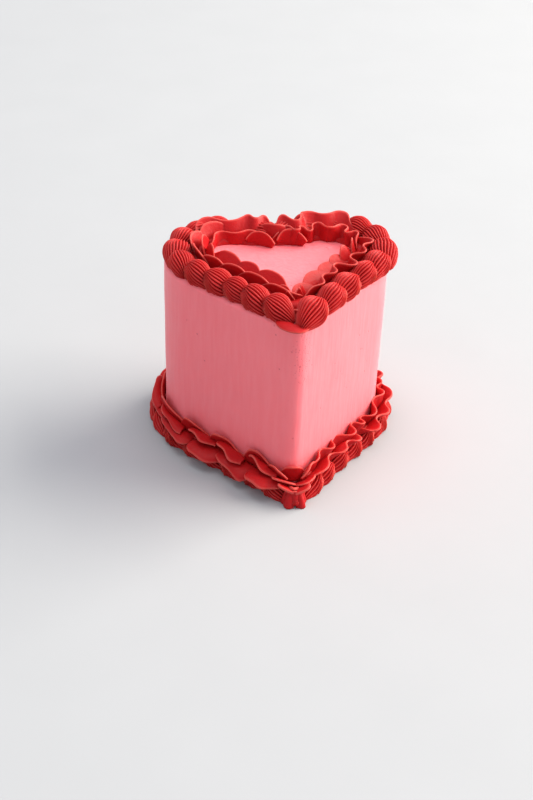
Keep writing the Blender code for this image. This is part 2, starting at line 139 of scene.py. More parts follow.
def pink_buttercream():
    """Satin, slightly translucent pink with scraper streaks 3 mm apart and pits under 1 mm wide.

    The rough patch is a ball round PATCH in a space squashed upright, so on the cake it is three times as
    tall as it is wide. Pits are more frequent within 13 mm of its middle, and crumbs fill it within 8.5 mm.
    """
    material, tree, shader = new_material("scraped_pink_buttercream")
    place = add(tree, "TexCoord")
    drift = add(tree, "TexNoise", {"Vector": place.outputs["Object"], "Scale": 28.0, "Detail": 3.0})
    tint = add(tree, "MixRGB", {
        "Fac": drift.outputs["Fac"], "Color1": linear("#FC8088"), "Color2": linear("#F8747D")})
    upright = add(tree, "Mapping", {"Vector": place.outputs["Object"], "Scale": (1.0, 1.0, 0.12)})
    streaks = add(tree, "TexNoise", {"Vector": upright.outputs["Vector"], "Scale": 330.0, "Detail": 2.0})
    swell = add(tree, "TexNoise", {"Vector": place.outputs["Object"], "Scale": 75.0, "Detail": 2.0})
    cells = add(tree, "TexVoronoi", {"Vector": place.outputs["Object"], "Scale": 210.0})
    pit = add(tree, "MapRange", {"Value": cells.outputs["Distance"], "From Min": 0.05, "From Max": 0.20})
    rare = add(tree, "TexNoise", {"Vector": place.outputs["Object"], "Scale": 95.0, "Detail": 1.0})
    squashed = add(tree, "Mapping", {
        "Vector": place.outputs["Object"], "Scale": tuple(PATCH_SQUASH),
        "Location": tuple(-(TIP + PATCH) * PATCH_SQUASH)})
    near = add(tree, "VectorMath", {0: squashed.outputs["Vector"]}, operation="LENGTH")
    extra = add(tree, "MapRange", {
        "Value": near.outputs["Value"], "From Min": 3 * MM, "From Max": 13 * MM, "To Min": 0.24,
        "To Max": 0.0})
    often = add(tree, "Math", {0: rare.outputs["Fac"], 1: extra.outputs["Result"]}, operation="ADD")
    where = add(tree, "MapRange", {"Value": often.outputs["Value"], "From Min": 0.70, "From Max": 0.66})
    bubbles = add(tree, "Math", {0: pit.outputs["Result"], 1: where.outputs["Result"]}, operation="MAXIMUM")
    fine_cells = add(tree, "TexVoronoi", {"Vector": place.outputs["Object"], "Scale": 520.0})
    crumb = add(tree, "MapRange", {
        "Value": fine_cells.outputs["Distance"], "From Min": 0.10, "From Max": 0.34, "To Min": 0.40})
    patch = add(tree, "MapRange", {"Value": near.outputs["Value"], "From Min": 4.5 * MM, "From Max": 8.5 * MM})
    crumbs = add(tree, "Math", {0: crumb.outputs["Result"], 1: patch.outputs["Result"]}, operation="MAXIMUM")
    pits = add(tree, "Math", {0: bubbles.outputs["Value"], 1: crumbs.outputs["Value"]}, operation="MINIMUM")
    soft = add(tree, "Bump", {"Height": swell.outputs["Fac"], "Strength": 0.25, "Distance": 0.0012})
    drawn = add(tree, "Bump", {
        "Height": streaks.outputs["Fac"], "Normal": soft.outputs["Normal"], "Strength": 0.45,
        "Distance": 0.6 * MM})
    holes = add(tree, "Bump", {
        "Height": pits.outputs["Value"], "Normal": drawn.outputs["Normal"], "Strength": 0.60,
        "Distance": 0.8 * MM})
    gloss = add(tree, "MapRange", {"Value": swell.outputs["Fac"], "To Min": 0.40, "To Max": 0.54})
    drawn_out = add(tree, "MapRange", {
        "Value": streaks.outputs["Fac"], "From Min": 0.40, "From Max": 0.66, "To Max": 0.15})
    streaked = add(tree, "MixRGB", {
        "Fac": drawn_out.outputs["Result"], "Color1": tint.outputs["Color"], "Color2": linear("#FF959B")})
    # Deeper pink where pits is low, in the bubbles and among the crumbs: painted shade in the hollows.
    shade = add(tree, "MixRGB", {
        "Fac": pits.outputs["Value"], "Color1": linear("#DB5F6A"), "Color2": streaked.outputs["Color"]})
    tree.links.new(shade.outputs["Color"], shader.inputs["Base Color"])
    tree.links.new(holes.outputs["Normal"], shader.inputs["Normal"])
    tree.links.new(gloss.outputs["Result"], shader.inputs["Roughness"])
    shader.inputs["IOR"].default_value = 1.46
    shader.inputs["Specular IOR Level"].default_value = 0.35
    shader.inputs["Subsurface Weight"].default_value = 0.35
    shader.inputs["Subsurface Radius"].default_value = (1.0, 0.35, 0.30)
    shader.inputs["Subsurface Scale"].default_value = 0.004
    return material


PINK = pink_buttercream()
print("made", PINK.name)

# %% [markdown]
# ## Red buttercream, piped
#
# The same butter with much more colour in it. Where the nozzle pulls it thin, at the crest of a ridge or the
# rim of a petal, light shines through it. Each piped piece carries an attribute named edge, which is 1 on
# crests and rims, and the material fades to a paler red there: a painted highlight. It is below 0 in the
# grooves between ridges, and there the material darkens the red: painted shade. A fine grain of sugar
# breaks up the gloss.

# %% Red buttercream
def red_buttercream():
    """Glossy saturated red with a painted highlight on crests and rims, painted shade in the grooves, and a 0.5
    mm sugar grain.
    """
    material, tree, shader = new_material("piped_red_buttercream")
    place = add(tree, "TexCoord")
    edge = add(tree, "Attribute", attribute_name="edge")
    drift = add(tree, "TexNoise", {"Vector": place.outputs["Object"], "Scale": 60.0, "Detail": 3.0})
    deep = add(tree, "MixRGB", {
        "Fac": drift.outputs["Fac"], "Color1": linear("#AA1519"), "Color2": linear("#B61C1F")})
    # Paler red where edge is high, on crests and rims: a painted highlight.
    pale = add(tree, "MapRange", {
        "Value": edge.outputs["Fac"], "From Min": 0.35, "From Max": 1.0, "To Max": 0.62})
    # Darker red where edge is below 0, in the grooves: painted shade.
    groove_shade = add(tree, "MapRange", {
        "Value": edge.outputs["Fac"], "From Min": 0.0, "From Max": -0.5, "To Max": 0.85})
    dark = add(tree, "MixRGB", {
        "Fac": groove_shade.outputs["Result"], "Color1": deep.outputs["Color"], "Color2": linear("#74060C")})
    tint = add(tree, "MixRGB", {
        "Fac": pale.outputs["Result"], "Color1": dark.outputs["Color"], "Color2": linear("#DA635A")})
    grain = add(tree, "TexNoise", {"Vector": place.outputs["Object"], "Scale": 1900.0, "Detail": 2.0})
    pull = add(tree, "TexNoise", {"Vector": place.outputs["Object"], "Scale": 420.0, "Detail": 3.0})
    lumps = add(tree, "Bump", {"Height": pull.outputs["Fac"], "Strength": 0.40, "Distance": 0.0007})
    fine = add(tree, "Bump", {
        "Height": grain.outputs["Fac"], "Normal": lumps.outputs["Normal"], "Strength": 0.18,
        "Distance": 0.2 * MM})
    gloss = add(tree, "MapRange", {"Value": pull.outputs["Fac"], "To Min": 0.32, "To Max": 0.48})
    tree.links.new(tint.outputs["Color"], shader.inputs["Base Color"])
    tree.links.new(fine.outputs["Normal"], shader.inputs["Normal"])
    tree.links.new(gloss.outputs["Result"], shader.inputs["Roughness"])
    shader.inputs["IOR"].default_value = 1.46
    shader.inputs["Specular IOR Level"].default_value = 0.14
    shader.inputs["Subsurface Weight"].default_value = 0.25
    shader.inputs["Subsurface Radius"].default_value = (1.0, 0.12, 0.08)
    shader.inputs["Subsurface Scale"].default_value = 0.003
    return material


RED = red_buttercream()
print("made", RED.name)

# %% [markdown]
# ## The heart in plan
#
# A heart tin is two circles, two straight sides and two small arcs, one outside the tip and one inside the
# cleft. Worked out that way, any inset of it is another such heart, so every row of piping can follow the
# edge at its own distance.

# %% The heart's outline
CAKE_WIDTH = 156.0
LOBE_RADIUS = 45.7
LOBE_OFFSET = CAKE_WIDTH / 2 - LOBE_RADIUS
HALF_ANGLE = math.radians(43)
LOBE_Y = (LOBE_RADIUS + LOBE_OFFSET * math.cos(HALF_ANGLE)) / math.sin(HALF_ANGLE)


def heart_half(inset, tip_round, cleft_round):
    """The right half from tip to cleft as rows of x, y, normal x, normal y, distance.

    Each arc is its centre plus its radius times (cos a, sin a), and the straight side joins the first two.
    """
    lobe_radius = LOBE_RADIUS - inset
    reach = math.sqrt((lobe_radius + cleft_round) ** 2 - LOBE_OFFSET ** 2)
    turn = math.atan2(reach, -LOBE_OFFSET)
    arcs = (
        ((0.0, (inset + tip_round) / math.sin(HALF_ANGLE)), tip_round, -math.pi / 2, -HALF_ANGLE, 40),
        ((LOBE_OFFSET, LOBE_Y), lobe_radius, -HALF_ANGLE, turn, 240),
        ((0.0, LOBE_Y + reach), -cleft_round, turn, math.pi / 2, 40),
    )
    rows = []
    for centre, radius, start, end, count in arcs:
        angle = np.linspace(start, end, count)
        normal = np.stack([np.cos(angle), np.sin(angle)])
        rows.append(np.vstack([np.array(centre)[:, None] + radius * normal, normal]))
    share = np.linspace(0, 1, 60)[1:-1]
    side = rows[0][:, -1:] * (1 - share) + rows[1][:, :1] * share
    table = np.hstack([rows[0], side, rows[1], rows[2]])
    steps = np.hypot(*np.diff(table[:2], axis=1))
    return np.vstack([table, np.concatenate([[0], np.cumsum(steps)])])


def on_heart(half, distance):
    """Points and outward normals at distances round the whole heart: up the right half, down the left."""
    length = half[4, -1]
    distance = np.asarray(distance, float) % (2 * length)
    side = np.where(distance <= length, 1.0, -1.0)
    along = np.where(distance <= length, distance, 2 * length - distance)
    x, y, normal_x, normal_y = (np.interp(along, half[4], row) for row in half[:4])
    size = np.hypot(normal_x, normal_y)
    return np.stack([side * x, y], -1), np.stack([side * normal_x / size, normal_y / size], -1)


print("length of the cake's edge:", round(2 * heart_half(0, 8, 7)[4, -1]), "mm")

# %% [markdown]
# ## From arrays to meshes
#
# Every shape below is an array of points on a grid. These helpers number the grid's faces, close it into one
# skin and hand it to Blender in one go. A surface that is wrapped the wrong way round has a negative volume,
# so the volume's sign tells which way its faces have to point.

# %% Helpers for meshes
def grid_faces(index):
    """Four corners for every cell of a grid of point numbers."""
    return np.stack([index[:-1, :-1], index[1:, :-1], index[1:, 1:], index[:-1, 1:]], -1).reshape(-1, 4)


def facing_out(points, faces):
    """Turns the faces over if the volume inside, summed as corner . (corner x corner) / 6, is negative."""
    a, b, c, d = (points[faces[:, k]] for k in range(4))
    volume = np.einsum("ij,ij->", a, np.cross(b, c)) + np.einsum("ij,ij->", a, np.cross(c, d))
    return faces if volume > 0 else faces[:, ::-1]


def closed_tube(rows, edge, first_pole, last_pole):
    """A skin round rings of points, each ring closed on itself, with a pole at either end."""
    count, around = rows.shape[:2]
    index = np.arange(count * around).reshape(count, around)
    index = np.hstack([index, index[:, :1]])
    head = np.full((1, around + 1), count * around)
    faces = grid_faces(np.vstack([head, index, head + 1]))
    points = np.vstack([rows.reshape(-1, 3), first_pole, last_pole])
    return points, facing_out(points, faces), np.concatenate([edge.ravel(), [0.0, 0.0]])


def thin_sheet(middle, half_thickness, edge):
    """A sheet with thickness: its middle surface pushed both ways along the normal. The skins share a rim."""
    normal = np.cross(np.gradient(middle, axis=0), np.gradient(middle, axis=1))
    normal /= np.linalg.norm(normal, axis=-1, keepdims=True) + 1e-12
    rows, columns = middle.shape[:2]
    front = np.arange(rows * columns).reshape(rows, columns)
    back = front.copy()
    back[1:-1, 1:-1] = rows * columns + np.arange((rows - 2) * (columns - 2)).reshape(rows - 2, columns - 2)
    push = normal * half_thickness[..., None]
    points = np.vstack([(middle + push).reshape(-1, 3), (middle - push)[1:-1, 1:-1].reshape(-1, 3)])
    faces = np.vstack([grid_faces(front), grid_faces(back)[:, ::-1]])
    return points, facing_out(points, faces), np.concatenate([edge.ravel(), edge[1:-1, 1:-1].ravel()])


def make_piece(name, parts, material, node):
    """Joins the parts to one smooth mesh in metres, which rides on the cake and stands for its CAD node."""
    offsets = np.cumsum([0] + [len(points) for points, _, _ in parts[:-1]])
    points = np.vstack([points for points, _, _ in parts]) * MM + TIP
    points[:, 2] = np.maximum(points[:, 2], 0.0)
    faces = np.vstack([faces + start for (_, faces, _), start in zip(parts, offsets)])
    twice = faces == np.roll(faces, -1, axis=1)
    corners = faces[~twice]
    sizes = 4 - twice.sum(axis=1)
    mesh = bpy.data.meshes.new(name)
    mesh.vertices.add(len(points))
    mesh.vertices.foreach_set("co", points.astype(np.float32).ravel())
    mesh.loops.add(len(corners))
    mesh.loops.foreach_set("vertex_index", corners.astype(np.int32))
    mesh.polygons.add(len(sizes))
    mesh.polygons.foreach_set("loop_start", np.concatenate([[0], np.cumsum(sizes)[:-1]]).astype(np.int32))
    mesh.polygons.foreach_set("use_smooth", np.ones(len(sizes), bool))
    mesh.update(calc_edges=True)
    mesh.validate()
    # The attribute edge carries the red's painted highlight on crests and rims and its painted shade in
    # grooves.
    edge = mesh.attributes.new("edge", "FLOAT", "POINT")
    edge.data.foreach_set("value", np.concatenate([part[2] for part in parts]).astype(np.float32))
    mesh.materials.append(material)
    piece = bpy.data.objects.new(name, mesh)
    bpy.context.scene.collection.objects.link(piece)
    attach(piece, "root")
    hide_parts(node)
    reach = ((points - TIP) / MM).round(1)
    print(f"{name}: {len(parts)} parts, {int((sizes - 2).sum())} triangles,")
    print(f"    from {reach.min(axis=0)} to {reach.max(axis=0)} mm")
    return piece


def wobble(points, seed, wavelength):
    """Smooth unevenness between -1 and 1: the mean of five sine waves in seeded directions."""
    draw = np.random.default_rng(seed)
    waves = draw.normal(size=(5, 3))
    waves *= 2 * math.pi / wavelength / np.linalg.norm(waves, axis=1, keepdims=True)
    return np.sin(points @ waves.T + draw.uniform(0, 2 * math.pi, 5)).mean(axis=-1)


# %% [markdown]
# ## The iced cake
#
# The body is one profile carried round the heart: a tight turn at the foot, an upright side, a soft round at
# the top edge, and then level rows that close in on the middle. A scraped side is never quite true, so the
# rows drift by a few tenths of a millimetre, the coat is a little thicker towards the top, and the straight
# sides swell a little between the tip and the lobes.

# %% Cake body
AROUND = 600
SIDE_SWELL = 1.4
THICKER_AT_TOP = 0.7
TOP_MIDDLE = np.array([0.0, 84.0, CAKE_HEIGHT])


def cake_body():
    """Rings at (inset, height) pairs of the profile, each a heart. The top rings shrink towards one middle.

    The swell is a half sine between 5 and 95 mm from the tip, and the coat thickens by a sine squared between
    30 and 110 mm up.
    """
    foot = [(1.2, 0.0), (0.7, 0.3), (0.3, 1.0)]
    side = [(0.0, z) for z in np.linspace(2.0, 128.5, 60)]
    bend = np.linspace(0.1, math.pi / 2, 9)
    brim = [(3.6 * (1 - math.cos(a)), 128.4 + 3.6 * math.sin(a)) for a in bend]
    rings = []
    for inset, height in foot + side + brim:
        half = heart_half(inset, 8 - min(inset, 4), 7 + inset)
        ways = np.linspace(0, 2 * half[4, -1], AROUND, endpoint=False)
        from_tip = np.minimum(ways, 2 * half[4, -1] - ways)
        ring, normal = on_heart(half, ways)
        swell = SIDE_SWELL * np.sin(math.pi * np.clip((from_tip - 5) / 90, 0, 1))
        upper = math.sin(math.pi / 2 * min(max((height - 30) / 80, 0), 1)) ** 2
        out = swell + THICKER_AT_TOP * upper - 0.3
        rings.append(np.column_stack([ring + normal * out[:, None], np.full(AROUND, height)]))
    rim = rings[-1]
    shares = 1 - np.linspace(0, 1, 40)[1:-1]
    rings += [TOP_MIDDLE + (rim - TOP_MIDDLE) * share for share in shares]
    rows = np.array(rings)
    shift = np.stack([wobble(rows, seed, 42.0) for seed in (1, 2, 3)], -1) * (0.30, 0.30, 0.18)
    calm = np.clip(rows[..., 2:] / 12, 0, 1)
    rows = rows + shift * calm
    return closed_tube(rows, np.zeros(rows.shape[:2]), TOP_MIDDLE * (1, 1, 0), TOP_MIDDLE)


make_piece("iced_cake", [cake_body()], PINK, "cake_body")

# %% [markdown]
# ## Piped shells
#
# A shell comes out of a star nozzle: press, let the cream swell, then ease off while pulling away, and the
# next one starts on its tail. It is a ridged ball whose two ends have slid towards the underside. So a sphere
# with a ribbed radius is used, its poles are slid together by a sphere-to-sphere map that never lets two
# points cross, and the tail end is drawn out. The ribs are wound up near the head, where the nozzle swirled.
#
# At the foot the row keeps its distance from the side along the straight sides and comes closer round the
# lobes. On top the first shells leave a gap at the tip, and those at the back sink under the frill.

# %% Where the shells go
LOBE_FROM, LOBE_TO = 75, 125


def front_share(distance, length, lobe_share):
    """1 along the straight sides, easing to lobe_share between 75 and 125 mm from the tip: e^2 (3 - 2e)."""
    distance = np.asarray(distance, float) % (2 * length)
    from_tip = np.minimum(distance, 2 * length - distance)
    ease = np.clip((from_tip - LOBE_FROM) / (LOBE_TO - LOBE_FROM), 0, 1)
    return 1 + (lobe_share - 1) * ease ** 2 * (3 - 2 * ease)


def shell_places(half, counts, starts, outset, seed, first_gap=(0, 0), first_size=1.0):
    """(point, along, outward, size) of each shell: even steps from the tip up either side, a little uneven.

    The gap after the first shell is wider by first_gap, which the rest make up for by the time they meet. The
    last shell's middle is 0.42 of a step short of the cleft, so that the two rows meet there. Each shell is
    turned outwards by about 0.1 radians, because the hand that pipes comes from outside.
    """
    draw = random.Random(seed)
    sides = []
    for mirror, count, first, gap in zip((1, -1), counts, starts, first_gap):
        pitch = (half[4, -1] - first) / (count - 1 + 0.42)
        places = []
        for k in range(count):
            extra = gap * min(k, 1) * (1 - k / count)
            distance = first + (k + draw.uniform(-0.07, 0.07)) * pitch + extra
            point, normal = on_heart(half, distance)
            point = point + normal * outset * front_share(distance, half[4, -1], 0.45)
            yaw = draw.uniform(-0.12, 0.12) + 0.10
            outward = np.array([
                normal[0] * math.cos(yaw) - normal[1] * math.sin(yaw),
                normal[0] * math.sin(yaw) + normal[1] * math.cos(yaw)])
            along = np.array([outward[1], -outward[0]])
            flip = np.array([mirror, 1])
            size = draw.uniform(0.93, 1.06) * (1 if k else first_size)
            places.append((point * flip, along * flip, outward * flip, size))
        sides.append(places)
    return sides


TOP_SHIFT = 2.5
top_right, top_left = shell_places(
    heart_half(6.0, 1, 9), counts=(11, 12), starts=(12.5, 21), outset=0.0, seed=11, first_gap=(4.0, 0),
    first_size=1.05)
base_right, base_left = shell_places(
    heart_half(0, 8, 7), counts=(13, 13), starts=(12, 12), outset=4.7, seed=23)
print(len(top_right + top_left), "shells on the top edge,", len(base_right + base_left), "round the foot")

# %% One shell
BALL = (9.3, 9.4, 8.0)
CREST_MIDDLE = 0.76
TAIL = np.array([0.93, 0.05, -0.35])


def shell(place, rise, shift, ribs, depth, wind, rows, per_rib, seed, head=(-0.55, 0.74, -0.30)):
    """A ball in polar angle and turn. Radius = 1 + depth x (crest - 0.76) + a lump, and crest = |cos|^0.8.

    Two dents near the head are bell curves in the level. The map that slides both poles towards the direction
    down takes the share c along it to (c + p) / (1 + p c). BALL is the half size in mm along the row,
    outwards and up, before the tail is drawn out by up to 80 % and down by up to 3.2 mm. The attribute edge
    is 0.62 on the crests and -0.5 in the grooves.
    """
    point, along, outward, size = place
    draw = np.random.default_rng(seed)
    head = np.array(head) + draw.normal(0, 0.07, 3)
    head /= np.linalg.norm(head)
    tail = TAIL / np.linalg.norm(TAIL)
    down = (head + tail) / np.linalg.norm(head + tail)
    across = np.cross(down, tail) / np.linalg.norm(np.cross(down, tail))
    fore = np.cross(across, down)
    pull = float(tail @ down)
    crowding = math.sqrt((1 - pull) / (1 + pull))
    polar = np.linspace(0, math.pi, rows + 2)[1:-1, None]
    turn = np.linspace(0, 2 * math.pi, ribs * per_rib, endpoint=False)[None, :]
    level, ring = np.cos(polar), np.sin(polar)
    crest = np.abs(np.cos(turn * ribs / 2)) ** 0.8
    uneven = 1 + 0.30 * np.sin(3 * turn + draw.uniform(0, 6.3)) * draw.uniform(0.3, 1.0)
    fade = np.minimum(1, 2.4 * ring)
    lump = 0.04 * np.sin(2 * turn + 3 * polar + draw.uniform(0, 6.3))
    radius = 1 + depth * (crest - CREST_MIDDLE) * uneven * fade + lump * fade
    radius = radius * (1 - 0.34 * np.exp((level - 1) / 0.05) - 0.10 * np.exp(-((level - 0.80) / 0.07) ** 2))
    wound = turn + wind * (0.5 + 0.5 * level) ** 5
    wound = 2 * np.arctan2(crowding * np.sin(wound / 2), np.cos(wound / 2))
    direction = (
        across * (np.sin(wound) * ring)[..., None]
        - down * (np.cos(wound) * ring)[..., None]
        - fore * (level + 0 * wound)[..., None])
    everything = np.vstack([direction.reshape(-1, 3), -fore, fore])
    share = everything @ down
    side = everything - share[:, None] * down
    side /= np.linalg.norm(side, axis=1, keepdims=True) + 1e-9
    share = (share + pull) / (1 + pull * share)
    everything = down * share[:, None] + side * np.sqrt(np.maximum(0, 1 - share ** 2))[:, None]
    radii = np.concatenate([radius.ravel(), [0.66, 1.0]])
    drawn = np.maximum(0, everything @ tail)
    local = everything * BALL * radii[:, None]
    local[:, 0] *= 1 + 0.8 * drawn ** 2
    local[:, 2] -= 3.2 * drawn ** 2
    axes = np.array([[*along, 0], [*outward, 0], [0, 0, 1]])
    points = np.array([*point, rise]) + (shift, 0, 0) + local @ axes * size
    points[:, 2] = np.maximum(points[:, 2], 0.0)
    # edge is 0.62 on the crests, where the red paints a highlight, and -0.5 in the grooves, where it paints
    # shade.
    edge = (0.62 * crest - 0.5 * (1 - crest)) * fade
    return closed_tube(points[:-2].reshape(*radius.shape, 3), edge, points[-2:-1], points[-1:])


for name, places, first in (("right", top_right, 100), ("left", top_left, 130)):
    row = []
    for k, place in enumerate(places):
        sunk = 3.0 * min(max((k - 7) / 2, 0), 1)
        row.append(shell(
            place, CAKE_HEIGHT + 5.4 - sunk, TOP_SHIFT, ribs=24, depth=0.24, wind=math.radians(200), rows=44,
            per_rib=6, seed=first + k))
    make_piece("piped_top_shells_" + name, row, RED, "top_shells")

for name, places, first in (("right", base_right, 200), ("left", base_left, 230)):
    row = [
        shell(
            place, 5.0, 0.0, ribs=21, depth=0.22, wind=math.radians(220), rows=36, per_rib=6, seed=first + k,
            head=(-0.48, 0.84, -0.16))
        for k, place in enumerate(places)]
    make_piece("piped_base_shells_" + name, row, RED, "base_shells")

# %% [markdown]
# ## Frills from a petal tip
#
# A petal tip is a narrow slot. Flicked along it lays thin leaves of cream, each a little over the last. Waved
# from side to side it lays one ribbon in S-folds. Both are sheets with a root on the cake and a free rim,
# thick at the root and thin at the rim. Both are laid out along the heart, so both end in the same helper.

# %% A sheet along the heart
def quarter_circle(share):
    """Height of a quarter circle at a share of its radius: the root of 1 - (1 - share)^2."""
    return np.sqrt(1 - (1 - share) ** 2)


def laid(half, along, out, up, thick, shift, seed, ends=0.05, lobe_share=1.0):
    """Point = the heart at along + its normal x out, and up above the floor.

    What is over 3 mm out comes in round the lobes. The skin is half of thick away on either side, root first
    and rim second, and closes in a quarter circle at the root, the rim and both ends.
    """
    out = np.where(out > 3, 3 + (out - 3) * front_share(along, half[4, -1], lobe_share), out)
    point, normal = on_heart(half, along)
    middle = np.concatenate([point + normal * out[..., None], up[..., None]], -1)
    middle[..., 0] += shift
    middle = middle + np.stack([wobble(middle, seed + k, 15.0) for k in range(3)], -1) * 0.22
    middle[..., 2] = np.maximum(middle[..., 2], 0.5)
    rows, columns = out.shape
    u = np.linspace(0, 1, rows)[:, None]
    v = np.sin(np.linspace(0, math.pi / 2, columns))[None, :]
    rim = np.minimum(1, (1 - v) / 0.07) * np.ones_like(u)
    foot = np.minimum(1, v / 0.05)
    end = np.minimum(1, np.minimum(u, 1 - u) / ends)
    rounded = quarter_circle(rim) * quarter_circle(foot) * quarter_circle(end)
    half_thickness = (thick[0] * (1 - v) + thick[1] * v) / 2 * rounded
    # edge rises to 1 at the rim, where the red paints a highlight.
    edge = np.clip((v - 0.84) / 0.16, 0, 1) * np.ones_like(u)
    return thin_sheet(middle, half_thickness, edge)


def risen(tall, lean, bend, v):
    """Sideways and upright parts of an arc as long as tall x v, whose lean from upright grows by bend."""
    turn = math.radians(bend if abs(bend) > 0.5 else 0.5)
    start = np.radians(lean)
    return (
        tall * (np.cos(start) - np.cos(start + turn * v)) / turn,
        tall * (np.sin(start + turn * v) - np.sin(start)) / turn)


# %% One leaf and one ribbon
def leaf(half, at, length, base, root, height, lean, bend=0.0, drift=0.0, flare=0.12, twist=0.0,
         shoulders=2.4, low=0.3, skew=0.0, thick=(2.4, 1.2), cup=0.0, ripple=0.0, shift=0.0, seed=0,
         lobe_share=1.0):
    """u runs along the heart from -1 to 1, v from root to rim. Tall = height (1 - (1 - low) |u|^shoulders).

    Out = root + drift u - cup u^2 v + ripple v^2 sin(4.4 u) + the arc's sideways part, and up = base + its
    upright part. Skew moves the tallest place along, twist leans one end more than the other, and flare makes
    the rim longer than the root.
    """
    draw = np.random.default_rng(seed)
    u = np.sin(np.linspace(-math.pi / 2, math.pi / 2, 35))[:, None]
    v = np.sin(np.linspace(0, math.pi / 2, 17))[None, :]
    lopsided = np.abs(np.clip(u - skew * (1 - u ** 2), -1, 1))
    tall = height * (low + (1 - low) * (1 - lopsided ** shoulders))
    tall = tall * (1 + 0.012 * np.sin(5 * u + draw.uniform(0, 6.3)))
    sideways, upright = risen(tall, lean + twist * u, bend, v)
    out = root + drift * u - cup * u ** 2 * v + sideways
    out = out + ripple * v ** 2 * np.sin(4.4 * u + draw.uniform(0, 6.3))
    along = at + length / 2 * u * (1 + flare * v)
    return laid(half, along, out, base + upright, thick, shift, seed, lobe_share=lobe_share)


def ribbon(half, start, finish, base, root, height, lean, fold, wavelength, bend=0.0, uneven=0.08,
           thick=(2.4, 1.2), shift=0.0, seed=0, lobe_share=1.0):
    """A sheet whose heading swings as fold x sin(turns along it), more at the rim (fold[1]) than at the root.

    Along and out are the running sums of the heading's cosine and sine, stretched to reach from start to
    finish. The turns are a little uneven in length, swing and height, and the swing dies away at both ends.
    """
    draw = np.random.default_rng(seed)
    span = finish - start
    waves = max(1, round(abs(span) / wavelength))
    s = np.linspace(0, 1, waves * 34)[:, None]
    v = np.sin(np.linspace(0, math.pi / 2, 15))[None, :]
    cycle = waves * (s + 0.135 / waves * np.sin(2 * math.pi * (waves * 0.37 * s + draw.uniform())))
    calm = np.minimum(1, 9 * np.minimum(s, 1 - s))
    grown = 1 + uneven * 2 * np.sin(2 * math.pi * (waves * 0.29 * s + draw.uniform()))
    swing = np.radians(np.minimum(84, (fold[0] + (fold[1] - fold[0]) * v) * grown))
    heading = swing * np.sin(2 * math.pi * cycle) * calm
    run = np.cumsum(np.cos(heading), axis=0)
    away = np.cumsum(np.sin(heading), axis=0)
    run, away = run - run[:1], away - away[:1]
    stretch = span / run[-1:]
    slow = np.sin(2 * math.pi * (cycle * 0.5 + draw.uniform()))
    tall = height * (1 + uneven * slow + 0.5 * uneven * np.sin(17 * s))
    tall = tall * (0.30 + 0.70 * (1 - np.abs(2 * s - 1) ** (2 * waves)))
    sideways, upright = risen(tall, lean, bend, v)
    out = root + (away - away[-1:] * s) * np.abs(stretch) + sideways
    along = start + run * stretch
    return laid(
        half, along, out, base + upright, thick, shift, seed, ends=0.25 / waves, lobe_share=lobe_share)


# %% [markdown]
# ### The frill on top
#
# Seen from the front, the inner leaves on the left stand up and lean in like roof tiles, those on the right
# lie nearly flat, and the outer row stands up behind the shells. Round the back both rows turn into folded
# ribbons, and the outer one leans out over the shells. Three curled leaves cover the place where the ribbons
# meet at the cleft, a leaf closes the gap between the first two shells, and a lip curls out under them. All
# of it stands in a low mound of the same cream, so that no root shows. Distances run from the tip, and those
# on the left are negative.

# %% Top frill
top_half = heart_half(23.5, 6, 90)
TOP_SIDE = top_half[4, -1]
TOP_BASE = CAKE_HEIGHT - 0.8
print("the top frill is", round(2 * TOP_SIDE), "mm long")


